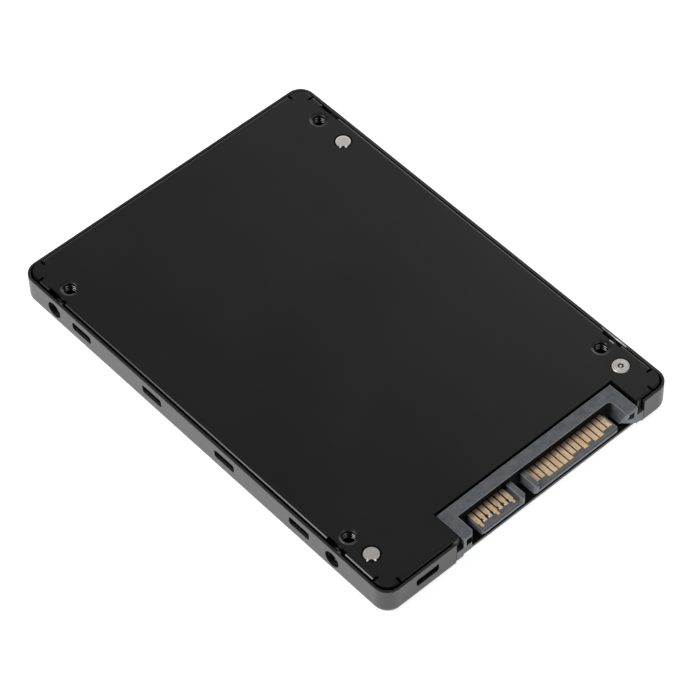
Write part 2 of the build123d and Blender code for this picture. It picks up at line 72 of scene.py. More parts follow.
class Shader:
    """A node material with short calls for the few nodes that the finishes here share."""

    def __init__(self, name):
        self.material = bpy.data.materials.new(name)
        self.material.use_nodes = True
        self.tree = self.material.node_tree
        self.bsdf = self.tree.nodes["Principled BSDF"]
        self.point = self.add("ShaderNodeTexCoord").outputs["Object"]

    def add(self, kind, **settings):
        """Adds a node and sets its properties."""
        node = self.tree.nodes.new(kind)
        for key, value in settings.items():
            setattr(node, key, value)
        return node

    def wire(self, source, target):
        """Links an output to an input, or sets the input to a plain value."""
        if isinstance(source, bpy.types.NodeSocket):
            self.tree.links.new(source, target)
        else:
            target.default_value = source

    def stretched(self, scale):
        """Object coordinates stretched per axis, for brushed or drawn patterns."""
        mapping = self.add("ShaderNodeMapping")
        self.wire(self.point, mapping.inputs["Vector"])
        mapping.inputs["Scale"].default_value = scale
        return mapping.outputs["Vector"]

    def noise(self, size, detail=2.0, rough=0.5, vector=None):
        """Noise whose features are about `size` metres across."""
        node = self.add("ShaderNodeTexNoise")
        self.wire(vector or self.point, node.inputs["Vector"])
        node.inputs["Scale"].default_value = 1.0 / size
        node.inputs["Detail"].default_value = detail
        node.inputs["Roughness"].default_value = rough
        return node.outputs["Fac"]

    def cells(self, size):
        """Cell pattern with cells about `size` metres across."""
        node = self.add("ShaderNodeTexVoronoi")
        self.wire(self.point, node.inputs["Vector"])
        node.inputs["Scale"].default_value = 1.0 / size
        return node.outputs["Distance"]

    def ramp(self, value, low, high, start=0.0, end=1.0):
        """Maps value from low..high to start..end, clamped."""
        node = self.add("ShaderNodeMapRange")
        self.wire(value, node.inputs["Value"])
        node.inputs["From Min"].default_value = low
        node.inputs["From Max"].default_value = high
        node.inputs["To Min"].default_value = start
        node.inputs["To Max"].default_value = end
        return node.outputs["Result"]

    def mix(self, amount, first, second):
        """Colour between two colours or colour sockets."""
        node = self.add("ShaderNodeMix", data_type="RGBA")
        self.wire(amount, node.inputs[0])
        for value, socket in ((first, node.inputs[6]), (second, node.inputs[7])):
            is_socket = isinstance(value, bpy.types.NodeSocket)
            self.wire(value if is_socket else (*value, 1.0), socket)
        return node.outputs[2]

    def math(self, operation, first, second=0.0):
        """One arithmetic step."""
        node = self.add("ShaderNodeMath", operation=operation)
        self.wire(first, node.inputs[0])
        self.wire(second, node.inputs[1])
        return node.outputs[0]

    def edge_highlight(self, radius, most):
        """Rises from zero to `most` at sharp edges within the radius: the mask of a painted edge
        highlight.
        """
        bevel = self.add("ShaderNodeBevel", samples=4)
        bevel.inputs["Radius"].default_value = radius
        geometry = self.add("ShaderNodeNewGeometry")
        dot = self.add("ShaderNodeVectorMath", operation="DOT_PRODUCT")
        self.wire(bevel.outputs["Normal"], dot.inputs[0])
        self.wire(geometry.outputs["Normal"], dot.inputs[1])
        return self.ramp(dot.outputs["Value"], NO_EDGE_HIGHLIGHT, FULL_EDGE_HIGHLIGHT, 0.0, most)

    def axes(self):
        """Object coordinates as separate x, y and z, in metres."""
        node = self.add("ShaderNodeSeparateXYZ")
        self.wire(self.point, node.inputs["Vector"])
        return node.outputs["X"], node.outputs["Y"], node.outputs["Z"]

    def radius(self, along, across):
        """Length of a two-part offset."""
        squares = self.math("MULTIPLY", along, along), self.math("MULTIPLY", across, across)
        return self.math("SQRT", self.math("ADD", *squares))

    def offset_from(self, value, centre):
        """Distance from a centre on one axis."""
        return self.math("ABSOLUTE", self.math("SUBTRACT", value, centre))

    def ripple(self, value, pitch):
        """Sine along a length, one wave per pitch, from 0 to 1."""
        wave = self.math("SINE", self.math("MULTIPLY", value, 2 * math.pi / pitch))
        return self.ramp(wave, -1.0, 1.0)

    def sheltered(self, reach):
        """Rises from zero to one in nooks that other surfaces close in within the reach."""
        node = self.add("ShaderNodeAmbientOcclusion", samples=6)
        node.inputs["Distance"].default_value = reach
        return self.ramp(node.outputs["AO"], OPEN, CLOSED_IN)

    def within(self, value, low, high):
        """One between the two limits and zero outside them."""
        above = self.math("GREATER_THAN", value, low)
        return self.math("MULTIPLY", above, self.math("LESS_THAN", value, high))

    def bump(self, height, strength, distance, normal=None):
        """Bump from a height, with its real depth in metres."""
        node = self.add("ShaderNodeBump")
        node.inputs["Strength"].default_value = strength
        node.inputs["Distance"].default_value = distance
        self.wire(height, node.inputs["Height"])
        if normal is not None:
            self.wire(normal, node.inputs["Normal"])
        return node.outputs["Normal"]

    def finish(self, **inputs):
        """Wires the named inputs of the surface shader."""
        for key, value in inputs.items():
            if isinstance(value, tuple):
                value = (*value, 1.0)
            self.wire(value, self.bsdf.inputs[key.replace("_", " ")])
        return self.material


def dress(piece, material):
    """Gives a CAD node or a new piece its one material."""
    piece.data.materials.clear()
    piece.data.materials.append(material)


# ---------------------------------------------------------------- places the finishes follow


def middle(node):
    """Centre of a CAD node's box."""
    low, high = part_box(node)
    return (low + high) / 2


mounts = {mount["name"]: mount for mount in frame["record"]["mounts"]}
bottom_holes = mounts["bottom_mounting_holes"]
HOLE_X = bottom_holes["dims"]["spacing_x_mm"] / 2 * MM
hole_reach = bottom_holes["dims"]["spacing_y_mm"] / 2 * MM
HOLE_YS = (bottom_holes["pos_m"][1] - hole_reach, bottom_holes["pos_m"][1] + hole_reach)
SIDE_HOLE_Z = mounts["left_side_mounting_holes"]["pos_m"][2]

# the seals are discs, so the edges of their box lie one radius from their centres;
# rounding to 0.01 mm takes out what the facets fall short of the circle
SEAL_RADIUS = 1.46 * MM
seal_low, seal_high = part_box("tamper_seals")
SEAL_TOP = seal_high.z
FRONT_SEAL = (round(seal_low.x + SEAL_RADIUS, 5), round(seal_low.y + SEAL_RADIUS, 5))
REAR_SEAL = (round(seal_high.x - SEAL_RADIUS, 5), round(seal_high.y - SEAL_RADIUS, 5))
# the painted highlight ring on the rear seal: its inner and outer radius, and where round its far
# side it fades in
SEAL_HIGHLIGHT_RING = (1.05 * MM, 1.25 * MM)
HIGHLIGHT_BEHIND = (-0.8 * MM, 0.4 * MM)

# the bare screw is level with the front seal, on the rear seal's side
OPEN_SCREW = (REAR_SEAL[0], FRONT_SEAL[1])
HEAD_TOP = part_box("cover_screws")[1].z
# the socket's painted shade starts and is full this far below the head's top, and reaches this far
# out
SOCKET_LIP = 0.02 * MM
SOCKET_DEPTH = 0.20 * MM
SOCKET_REACH = 0.7 * MM
SOCKET_PIN = 0.2 * MM
TOOL_RINGS = 0.42 * MM
TOOL_GRAIN = 0.09 * MM
# farther than this from the bare screw lie only the sealed ones
SCREW_APART = 5.0 * MM

CONTACT_PITCH = 1.27 * MM
CONTACT_HALF_WIDTH = 0.45 * MM
# the middle lines of the first and the last contact on each tongue
CONTACT_ROWS = []
for name, count in (("signal_contacts", 7), ("power_contacts", 15)):
    row_reach = (count - 1) / 2 * CONTACT_PITCH
    CONTACT_ROWS.append((middle(name).x - row_reach, middle(name).x + row_reach))
CONTACT_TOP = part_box("signal_contacts")[1].z
# the tongues end below the first height, and the barbs beside the contacts below the second
GAP_TOP = CONTACT_TOP - 0.03 * MM
BARB_TOP = CONTACT_TOP - 0.01 * MM

# places in the connector, from its front face, its top and its power side end;
# a pair is where a painted shade starts and where it is full
housing_low, housing_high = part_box("connector_housing")
CONTACT_SHADE = (housing_low.y + 3.1 * MM, housing_low.y + 4.4 * MM)
MOUTH_SHADE = (housing_low.y + 3.3 * MM, housing_low.y + 4.2 * MM)
MOUTH_TOP = (housing_high.z, housing_high.z - 0.3 * MM)
SHORT_CONTACT_TIP = housing_low.y + 1.5 * MM
POWER_ARM_X = housing_high.x - 4.25 * MM
ARM_POCKET_BACK = housing_low.y + 2.1 * MM

# the shell's rim is rubbed beside the front right hole, most in the middle of the patch
RUBBED_X = (cad_high.x - 0.565 * MM, cad_high.x - 0.305 * MM)
RUBBED_Y = (HOLE_YS[0] - 3.0 * MM, HOLE_YS[0] + 3.3 * MM)
RUBBED_LOW = cad_high.z - 0.5 * MM
RUBBED_MIDDLE = HOLE_YS[0] - 0.5 * MM
RUBBED_FADE = (0.4 * MM, 3.4 * MM)
RUBBED_LEAST = 0.3
RUBBED_GRAIN = 1.5 * MM

# the cover has a chip in its paint there, at the edge of its notch
CHIP_X = (HOLE_X + 2.24 * MM, HOLE_X + 2.54 * MM)
CHIP_Y = (HOLE_YS[0] - 0.9 * MM, HOLE_YS[0] + 0.2 * MM)
CHIP_LOW = cad_high.z - 0.3 * MM

# where the cover bends down, what each side's bend adds to its shine between the front and
# the rear, and what is left of the shine at the front bend
cover_low, cover_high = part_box("base_cover")
SIDE_BEND = (cover_high.x - 1.07 * MM, cover_high.x - 0.97 * MM)
FRONT_BEND = (cover_low.y + 0.92 * MM, cover_low.y + 1.12 * MM)
SHEEN_Y = (HOLE_YS[0] + 0.1 * MM, HOLE_YS[1] + 3.5 * MM)
LEFT_SHEEN = (0.5, -0.7)
RIGHT_SHEEN = (0.0, 0.8)
FRONT_SHEEN = 0.4

# how near a facing surface brings painted shade into a gap, in the paint and in the moulding
GAP_REACH = 0.6 * MM
NOOK_REACH = 2.2 * MM


# ---------------------------------------------------------------- finishes

SHADE_BLACK = (0.0005, 0.0005, 0.0005)
BARE_METAL = (0.66, 0.65, 0.64)


def bend_sheen(s):
    """Shine of the cover: its bends shine most at the front left and the rear right."""
    across, along = s.axes()[:2]
    at_left = s.ramp(s.math("MULTIPLY", across, -1.0), *SIDE_BEND)
    at_right = s.ramp(across, *SIDE_BEND)
    left = s.math("MULTIPLY", at_left, s.ramp(along, *SHEEN_Y, *LEFT_SHEEN))
    right = s.math("MULTIPLY", at_right, s.ramp(along, *SHEEN_Y, *RIGHT_SHEEN))
    sides = s.math("ADD", 1.0, s.math("ADD", left, right))
    return s.math("MULTIPLY", sides, s.ramp(along, *FRONT_BEND, FRONT_SHEEN, 1.0))


def bare_patch(s, x_range, y_range, low):
    """One inside a small box at the top of the drive, where the paint has rubbed through."""
    across, along, height = s.axes()
    patch = s.math("MULTIPLY", s.within(across, *x_range), s.within(along, *y_range))
    return s.math("MULTIPLY", patch, s.math("GREATER_THAN", height, low))


def rubbed_rim(s):
    """Bare metal on the shell's rim: patchy, and fading away from its middle."""
    from_middle = s.offset_from(s.axes()[1], RUBBED_MIDDLE)
    rubbed = s.ramp(from_middle, *RUBBED_FADE, 1.0, RUBBED_LEAST)
    patchy = s.ramp(s.noise(RUBBED_GRAIN), 0.2, 0.45)
    rubbed = s.math("MULTIPLY", rubbed, patchy)
    return s.math("MULTIPLY", rubbed, bare_patch(s, RUBBED_X, RUBBED_Y, RUBBED_LOW))


def black_paint(name, colour, pale, roughness, gloss, is_cover=False):
    """Satin baked paint on sheet steel: faint orange peel, fine grain, painted shade in narrow
    gaps.
    """
    s = Shader(name)
    tone = s.noise(22.0 * MM, detail=4.0, rough=0.6)
    grain = s.noise(0.22 * MM)
    peel = s.noise(1.1 * MM)
    # painted shade: gaps that other surfaces close in turn black and lose their shine
    gap_shade = s.sheltered(GAP_REACH)
    base = s.mix(s.ramp(tone, 0.35, 0.7), colour, pale)
    base = s.mix(gap_shade, base, SHADE_BLACK)
    shine = s.math("SUBTRACT", 1.0, gap_shade)
    if is_cover:
        shine = s.math("MULTIPLY", shine, bend_sheen(s))
        metal = bare_patch(s, CHIP_X, CHIP_Y, CHIP_LOW)
    else:
        metal = rubbed_rim(s)
    base = s.mix(metal, base, BARE_METAL)
    rough = s.math("ADD", s.ramp(grain, 0.3, 0.7, -0.04, 0.04), roughness)
    rough = s.math("ADD", rough, s.ramp(tone, 0.3, 0.7, -0.015, 0.015))
    fine = s.bump(grain, 0.35, 0.006 * MM)
    return s.finish(
        Base_Color=base,
        Metallic=metal,
        Roughness=rough,
        Normal=s.bump(peel, 0.25, 0.01 * MM, fine),
        Specular_IOR_Level=s.math("MULTIPLY", shine, 0.5),
        Coat_Weight=s.math("MULTIPLY", shine, gloss),
        Coat_Roughness=0.16,
    )


def contact_gap_shade(s):
    """One on the tongues between neighbouring contacts, where painted shade goes."""
    across, along, height = s.axes()
    gaps = []
    for first, last in CONTACT_ROWS:
        from_first = s.math("SUBTRACT", across, first)
        from_nearest = s.math("PINGPONG", from_first, CONTACT_PITCH / 2)
        between = s.math("GREATER_THAN", from_nearest, CONTACT_HALF_WIDTH)
        gaps.append(s.math("MULTIPLY", between, s.within(across, first, last)))
    low = s.math("LESS_THAN", height, GAP_TOP)
    behind_tips = s.math("GREATER_THAN", along, SHORT_CONTACT_TIP)
    place = s.math("MULTIPLY", low, behind_tips)
    return s.math("MULTIPLY", s.math("MAXIMUM", *gaps), place)


def painted_mouth_shade(s):
    """Rises towards the back wall of the connector mouth, below the housing's top: the mask of its
    painted shade.
    """
    along, height = s.axes()[1:]
    return s.math("MULTIPLY", s.ramp(along, *MOUTH_SHADE), s.ramp(height, *MOUTH_TOP))


def connector_plastic():
    """Blue-grey glass-filled moulding: mottled, painted highlights on its edges, painted shade deep
    in the mouth.
    """
    s = Shader("connector_plastic")
    blotch = s.noise(1.6 * MM, detail=5.0, rough=0.65)
    speck = s.noise(0.25 * MM, detail=3.0)
    streak = s.noise(0.8 * MM, detail=3.0, vector=s.stretched((0.25, 1.0, 1.0)))
    body = s.mix(s.ramp(blotch, 0.3, 0.7), (0.080, 0.087, 0.098), (0.150, 0.158, 0.172))
    body = s.mix(s.ramp(speck, 0.55, 0.75, 0.0, 0.6), body, (0.21, 0.22, 0.235))
    body = s.mix(s.ramp(streak, 0.6, 0.8, 0.0, 0.35), body, (0.17, 0.18, 0.19))
    # painted highlight: pale colour on every sharp edge
    body = s.mix(s.edge_highlight(0.2 * MM, 0.9), body, (0.52, 0.54, 0.56))
    # painted shade: in nooks, deep in the mouth and on the tongues between the contacts
    shade = s.math("MAXIMUM", s.sheltered(NOOK_REACH), painted_mouth_shade(s))
    shade = s.math("MAXIMUM", shade, contact_gap_shade(s))
    # the pocket in the power side arm gets none of the painted shade
    across, along = s.axes()[:2]
    past_mouth = s.math("GREATER_THAN", across, POWER_ARM_X)
    in_pocket = s.math("MULTIPLY", past_mouth, s.math("LESS_THAN", along, ARM_POCKET_BACK))
    shade = s.math("MULTIPLY", shade, s.math("SUBTRACT", 1.0, in_pocket))
    # the painted shade turns the moulding near black
    body = s.mix(s.math("MULTIPLY", shade, 0.95), body, (0.003, 0.003, 0.0035))
    rough = s.ramp(blotch, 0.3, 0.7, 0.42, 0.6)
    return s.finish(
        Base_Color=body,
        Roughness=rough,
        Specular_IOR_Level=s.ramp(shade, 0.0, 1.0, 0.5, 0.05),
        Normal=s.bump(speck, 0.3, 0.01 * MM),
    )


def contact_gold():
    """Thin gold over copper alloy: wiped lengthwise, each strip its own tone, painted shade at the
    back.
    """
    s = Shader("contact_gold")
    along, height = s.axes()[1:]
    wipe = s.noise(0.4 * MM, detail=4.0, vector=s.stretched((1.0, 0.12, 1.0)))
    spot = s.noise(0.5 * MM, detail=3.0)
    strip = s.noise(CONTACT_PITCH * 1.6, detail=0.0, vector=s.stretched((1.0, 0.0, 0.0)))
    base = s.mix(s.ramp(wipe, 0.35, 0.65), (0.93, 0.60, 0.31), (1.0, 0.83, 0.54))
    base = s.mix(s.ramp(strip, 0.4, 0.6, 0.0, 0.5), base, (1.0, 0.60, 0.37))
    base = s.mix(s.ramp(spot, 0.55, 0.72, 0.0, 0.6), base, (0.55, 0.29, 0.12))
    # painted shade: dark brown towards the back of the mouth
    back = s.ramp(along, *CONTACT_SHADE, 0.0, 0.85)
    base = s.mix(back, base, (0.10, 0.05, 0.025))
    # all that lies below the strips' tops is bare metal: sides, feet and the tips' barbs
    bare = s.math("LESS_THAN", height, BARB_TOP)
    base = s.mix(bare, base, (0.90, 0.92, 0.95))
    rough = s.ramp(wipe, 0.3, 0.7, 0.36, 0.5)
    return s.finish(
        Base_Color=base, Metallic=0.25, Roughness=rough, Normal=s.bump(wipe, 0.4, 0.01 * MM)
    )


def turned_metal(name, colour, dark, roughness):
    """Plated or turned metal with fine scratches and slight staining."""
    s = Shader(name)
    scratch = s.noise(0.12 * MM, detail=3.0, vector=s.stretched((1.0, 0.3, 1.0)))
    stain = s.noise(0.9 * MM, detail=3.0)
    base = s.mix(s.ramp(stain, 0.35, 0.75), colour, dark)
    rough = s.ramp(scratch, 0.3, 0.7, roughness - 0.08, roughness + 0.08)
    return s.finish(
        Base_Color=base, Metallic=1.0, Roughness=rough, Normal=s.bump(scratch, 0.3, 0.005 * MM)
    )


def screw_metal():
    """Bright turned head with tool rings, painted shade in the socket and on the sealed heads, and
    a painted highlight on the pin.
    """
    s = Shader("screw_steel")
    x, y, z = s.axes()
    out_x, out_y = s.math("SUBTRACT", x, OPEN_SCREW[0]), s.math("SUBTRACT", y, OPEN_SCREW[1])
    from_centre = s.radius(out_x, out_y)
    fine = s.ripple(from_centre, TOOL_GRAIN)
    coarse = s.ripple(from_centre, TOOL_RINGS)
    stain = s.noise(0.5 * MM, detail=3.0)
    base = s.mix(s.ramp(stain, 0.35, 0.7), (0.93, 0.90, 0.87), (0.74, 0.71, 0.68))
    base = s.mix(s.ramp(coarse, 0.5, 1.0, 0.0, 0.6), base, (0.42, 0.40, 0.38))
    # painted shade in the socket
    down = s.ramp(z, HEAD_TOP - SOCKET_LIP, HEAD_TOP - SOCKET_DEPTH)
    socket_shade = s.math("MULTIPLY", down, s.math("LESS_THAN", from_centre, SOCKET_REACH))
    base = s.mix(s.math("MULTIPLY", socket_shade, 0.95), base, (0.05, 0.035, 0.025))
    # painted highlight: the pin white and not metallic
    pin_highlight = s.math("LESS_THAN", from_centre, SOCKET_PIN)
    base = s.mix(pin_highlight, base, (1.0, 1.0, 1.0))
    # painted shade: the heads under the seals near black
    sealed_shade = s.math("GREATER_THAN", from_centre, SCREW_APART)
    base = s.mix(sealed_shade, base, (0.012, 0.012, 0.012))
    normal = s.bump(fine, 0.5, 0.008 * MM)
    metal = s.ramp(pin_highlight, 0.0, 1.0, 0.6, 0.0)
    return s.finish(Base_Color=base, Metallic=metal, Roughness=0.34, Normal=normal)


def moulded(name, colour, pale, roughness, grain_size=0.15 * MM):
    """Moulded or sintered body with a fine speckle."""
    s = Shader(name)
    speck = s.noise(grain_size, detail=3.0)
    cloud = s.noise(grain_size * 12)
    base = s.mix(s.ramp(speck, 0.4, 0.75), colour, pale)
    base = s.mix(s.ramp(cloud, 0.4, 0.8, 0.0, 0.4), base, pale)
    rough = s.ramp(cloud, 0.3, 0.7, roughness - 0.05, roughness + 0.05)
    return s.finish(Base_Color=base, Roughness=rough, Normal=s.bump(speck, 0.4, 0.012 * MM))


def end_capped(name, body, axis, centre, half_body, roughness, mirrored=False):
    """Small board part: a sintered body with tinned ends past half_body from its centre."""
    s = Shader(name)
    speck = s.noise(0.15 * MM, detail=3.0)
    along = s.axes()[axis]
    if mirrored:
        # a second row lies as far on the other side of the middle
        along = s.math("ABSOLUTE", along)
    end = s.math("GREATER_THAN", s.offset_from(along, centre), half_body)
    shade = tuple(channel * 0.7 for channel in body)
    base = s.mix(s.ramp(speck, 0.4, 0.7), body, shade)
    base = s.mix(end, base, (0.72, 0.71, 0.69))
    return s.finish(
        Base_Color=base, Metallic=end, Roughness=roughness, Normal=s.bump(speck, 0.4, 0.01 * MM)
    )


def board_laminate():
    """Green solder mask over copper: darker and lighter parallel runs, in patches."""
    s = Shader("board_laminate")
    wave = s.add("ShaderNodeTexWave", wave_type="BANDS", bands_direction="X")
    s.wire(s.point, wave.inputs["Vector"])
    wave.inputs["Scale"].default_value = 420.0
    zone = s.cells(6.0 * MM)
    runs = s.math("MULTIPLY", wave.outputs["Fac"], s.ramp(zone, 0.35, 0.5))
    base = s.mix(s.ramp(runs, 0.45, 0.6), (0.006, 0.045, 0.022), (0.012, 0.09, 0.042))
    return s.finish(
        Base_Color=base, Roughness=0.32, Normal=s.bump(runs, 0.4, 0.02 * MM), Coat_Weight=0.3
    )


def seal_foil():
    """Matte silvered tamper foil, slightly warm, with a faint crinkle."""
    s = Shader("seal_foil")
    crinkle = s.noise(0.5 * MM, detail=3.0, rough=0.6)
    grain = s.noise(0.12 * MM)
    base = s.mix(s.ramp(crinkle, 0.3, 0.7), (0.48, 0.455, 0.435), (0.58, 0.555, 0.535))
    # the rear seal is brighter, and a painted highlight brightens it further in a ring round its
    # far side
    across, along = s.axes()[:2]
    rear = s.ramp(along, FRONT_SEAL[1], REAR_SEAL[1])
    base = s.mix(s.math("MULTIPLY", rear, 0.45), base, (0.88, 0.87, 0.86))
    out_across = s.math("SUBTRACT", across, REAR_SEAL[0])
    out_along = s.math("SUBTRACT", along, REAR_SEAL[1])
    ring = s.ramp(s.radius(out_across, out_along), *SEAL_HIGHLIGHT_RING)
    behind = s.ramp(s.math("ADD", out_across, out_along), *HIGHLIGHT_BEHIND)
    ring = s.math("MULTIPLY", ring, s.math("MULTIPLY", rear, behind))
    base = s.mix(s.math("MULTIPLY", ring, 0.6), base, (0.98, 0.97, 0.96))
    rough = s.ramp(grain, 0.3, 0.7, 0.45, 0.6)
    return s.finish(
        Base_Color=base, Metallic=0.35, Roughness=rough, Normal=s.bump(crinkle, 0.3, 0.03 * MM)
    )


def painted_highlight_foil():
    """Seal foil painted far paler, as a highlight, under a hard clear lacquer, for corners that
    catch the light.
    """
    s = Shader("pale_highlight_foil")
    crinkle = s.noise(0.2 * MM)
    # painted highlight: far paler than the seal foil
    base = s.mix(crinkle, (0.92, 0.91, 0.90), (0.98, 0.97, 0.96))
    return s.finish(
        Base_Color=base, Roughness=0.4, Coat_Weight=1.0, Coat_Roughness=0.35, Coat_IOR=2.2
    )


shell_paint = black_paint(
    "shell_paint", (0.019, 0.0183, 0.0178), (0.026, 0.0252, 0.0245), 0.36, gloss=0.1
)
cover_paint = black_paint(
    "cover_paint",
    (0.0062, 0.0062, 0.0061),
    (0.0082, 0.0082, 0.0080),
    0.38,
    gloss=0.45,
    is_cover=True,
)
plastic = connector_plastic()
gold = contact_gold()
bright_steel = turned_metal("bright_steel", (0.62, 0.62, 0.62), (0.5, 0.5, 0.5), 0.3)
dark_steel = turned_metal("dark_steel", (0.10, 0.10, 0.105), (0.05, 0.05, 0.052), 0.3)
thread_steel = turned_metal("thread_steel", (0.26, 0.26, 0.27), (0.16, 0.16, 0.17), 0.16)
tinned = turned_metal("tinned_metal", (0.75, 0.74, 0.72), (0.6, 0.6, 0.58), 0.3)
foil = seal_foil()
compound = moulded("chip_compound", (0.022, 0.022, 0.023), (0.04, 0.04, 0.042), 0.5)
ferrite = moulded("ferrite", (0.06, 0.06, 0.065), (0.11, 0.11, 0.115), 0.6)
tantalum = moulded("tantalum_resin", (0.55, 0.30, 0.04), (0.70, 0.42, 0.07), 0.4)
# the chip capacitors are 1.6 mm long, in two rows
row_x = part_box("ceramic_capacitors")[1].x - 0.8 * MM
row_y = middle("resistors").y
fuse_x = middle("input_fuse").x
ceramic = end_capped("ceramic_tan", (0.36, 0.23, 0.13), 0, row_x, 0.5 * MM, 0.4, mirrored=True)
resistor = end_capped("resistor_black", (0.025, 0.025, 0.028), 1, row_y, 0.3 * MM, 0.3)
fuse = end_capped("fuse_white", (0.68, 0.68, 0.62), 0, fuse_x, 1.1 * MM, 0.4)
pad = moulded("thermal_pad", (0.30, 0.36, 0.42), (0.38, 0.44, 0.50), 0.7)
pale_highlight_foil = painted_highlight_foil()
label_film = moulded("label_film", (0.50, 0.51, 0.52), (0.56, 0.57, 0.58), 0.45, 0.3 * MM)

FINISHES = {
    "label_shell": shell_paint,
    "base_cover": cover_paint,
    "product_label": label_film,
    "circuit_board": board_laminate(),
    "connector_housing": plastic,
    "signal_contacts": gold,
    "power_contacts": gold,
    "connector_board_locks": tinned,
    "side_mounting_nuts": dark_steel,
    "standoffs": bright_steel,
    "board_spacers": bright_steel,
    "cover_screws": screw_metal(),
    "tamper_seals": foil,
    "timing_crystal": bright_steel,
    "power_inductors": ferrite,
    "hold_up_capacitors": tantalum,
    "ceramic_capacitors": ceramic,
    "resistors": resistor,
    "input_fuse": fuse,
    "controller_thermal_pad": pad,
    "flash_thermal_pads_cover_side": pad,
    "flash_thermal_pads_shell_side": pad,
}
for name, node in nodes.items():
    dress(node, FINISHES.get(name, compound))


# ---------------------------------------------------------------- pieces finer than the CAD


def new_piece(name, build, material):
    """Turns a bmesh into a smooth-shaded piece that rides on the drive."""
    mesh = bpy.data.meshes.new(name)
    bmesh.ops.recalc_face_normals(build, faces=build.faces)
    build.to_mesh(mesh)
    build.free()
    for polygon in mesh.polygons:
        polygon.use_smooth = True
    piece = bpy.data.objects.new(name, mesh)
    bpy.context.scene.collection.objects.link(piece)
    dress(piece, material)
    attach(piece, ROOT)
    return piece


THREAD_PITCH = 0.5 * MM
THREAD_RADIUS = bottom_holes["dims"]["hole_r_mm"] * MM
THREAD_CREST = 0.11 * MM
THREAD_HALF_BASE = 0.21 * MM
THREAD_ROOT = 0.03 * MM
STEPS_PER_TURN = 32
GROWTH_STEPS = 8
LEAST_WIDTH = 0.05


def add_thread(build, start, inward, length):
    """Adds a helical ridge with a flat crest on the wall of a bore, from start inward."""
    side = Vector((0.0, 0.0, 1.0)) if inward.x else Vector((1.0, 0.0, 0.0))
    across = inward.cross(side)
    # the section's root is sunk in the wall, and its crest stands in the bore
    section = (
        (THREAD_RADIUS + THREAD_ROOT, -THREAD_HALF_BASE),
        (THREAD_RADIUS - THREAD_CREST, -THREAD_ROOT),
        (THREAD_RADIUS - THREAD_CREST, THREAD_ROOT),
        (THREAD_RADIUS + THREAD_ROOT, THREAD_HALF_BASE),
    )
    steps = int(length / THREAD_PITCH * STEPS_PER_TURN)
    rings = []
    for step in range(steps + 1):
        angle = 2 * math.pi * step / STEPS_PER_TURN
        outward = side * math.cos(angle) + across * math.sin(angle)
        # the ridge grows out of the wall at both ends
        growth = min(1.0, step / GROWTH_STEPS, (steps - step) / GROWTH_STEPS)
        ring = []
        for radius, shift in section:
            sunk = radius + (1.0 - growth) * (THREAD_RADIUS + THREAD_ROOT - radius)
            travel = THREAD_PITCH * step / STEPS_PER_TURN + shift * max(growth, LEAST_WIDTH)
            ring.append(build.verts.new(start + outward * sunk + inward * travel))
        rings.append(ring)
    for near, far in zip(rings, rings[1:]):
        for i in range(len(section)):
            j = (i + 1) % len(section)
            build.faces.new((near[i], near[j], far[j], far[i]))
    build.faces.new(rings[0])
    build.faces.new(rings[-1])


COLLAR_THREAD_TOP = cad_high.z - 0.45 * MM
COLLAR_THREAD_LENGTH = 1.7 * MM
threads = bmesh.new()
for x in (-HOLE_X, HOLE_X):
    for y in HOLE_YS:
        start = Vector((x, y, COLLAR_THREAD_TOP))
        add_thread(threads, start, Vector((0.0, 0.0, -1.0)), COLLAR_THREAD_LENGTH)
new_piece("collar_threads", threads, thread_steel)

NUT_THREAD_LENGTH = 0.95 * MM
NUT_THREAD_INSET = 0.25 * MM
nut_outer_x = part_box("side_mounting_nuts")[1].x
threads = bmesh.new()
for sign in (-1.0, 1.0):
    for y in HOLE_YS:
        start = Vector((sign * (nut_outer_x - NUT_THREAD_INSET), y, SIDE_HOLE_Z))
        add_thread(threads, start, Vector((-sign, 0.0, 0.0)), NUT_THREAD_LENGTH)
new_piece("side_nut_threads", threads, dark_steel)

# each seal has a notch, and its two corners have lifted: the seal's centre, and how far
# each corner stands from the notch's middle, in degrees
SEALS = ((*FRONT_SEAL, 27.0), (*REAR_SEAL, 21.0))
NOTCH_ANGLE = math.radians(229.0)
CORNER_WIDTH = 0.48 * MM
CORNER_LENGTH = 0.54 * MM
CORNER_OVERLAP = 0.26 * MM
CORNER_RISE = 0.12 * MM
CORNER_TAPER = 0.45
LENGTHWISE_FULLNESS = 0.6
CROSSWISE_FULLNESS = 0.7
CORNER_CELLS = 8
FOIL_THICKNESS = 0.03 * MM


def add_corner(build, start, angle):
    """Adds a domed scale of foil that points away from a seal's centre at the angle."""
    outward = Vector((math.cos(angle), math.sin(angle), 0.0))
    across = Vector((-outward.y, outward.x, 0.0))
    base = start + outward * (SEAL_RADIUS - CORNER_OVERLAP)
    grid = []
    for i in range(CORNER_CELLS + 1):
        row = []
        for j in range(CORNER_CELLS + 1):
            u, v = i / CORNER_CELLS, 2 * j / CORNER_CELLS - 1.0
            rise = math.sin(math.pi * u) ** LENGTHWISE_FULLNESS
            rise *= (1.0 - v * v) ** CROSSWISE_FULLNESS
            narrow = 1.0 - CORNER_TAPER * u * u
            spot = base + outward * (CORNER_LENGTH * u)
            spot += across * (CORNER_WIDTH / 2 * v * narrow)
            spot.z += CORNER_RISE * rise
            row.append(build.verts.new(spot))
        grid.append(row)
    for near, far in zip(grid, grid[1:]):
        for j in range(CORNER_CELLS):
            build.faces.new((near[j], far[j], far[j + 1], near[j + 1]))


corners = bmesh.new()
for x, y, apart in SEALS:
    for turn in (-apart, apart):
        add_corner(corners, Vector((x, y, SEAL_TOP)), NOTCH_ANGLE + math.radians(turn))
raised = new_piece("seal_raised_corners", corners, pale_highlight_foil)
skin = raised.modifiers.new("foil_thickness", "SOLIDIFY")
skin.thickness = FOIL_THICKNESS
skin.offset = -1.0


# ---------------------------------------------------------------- stage, light and camera

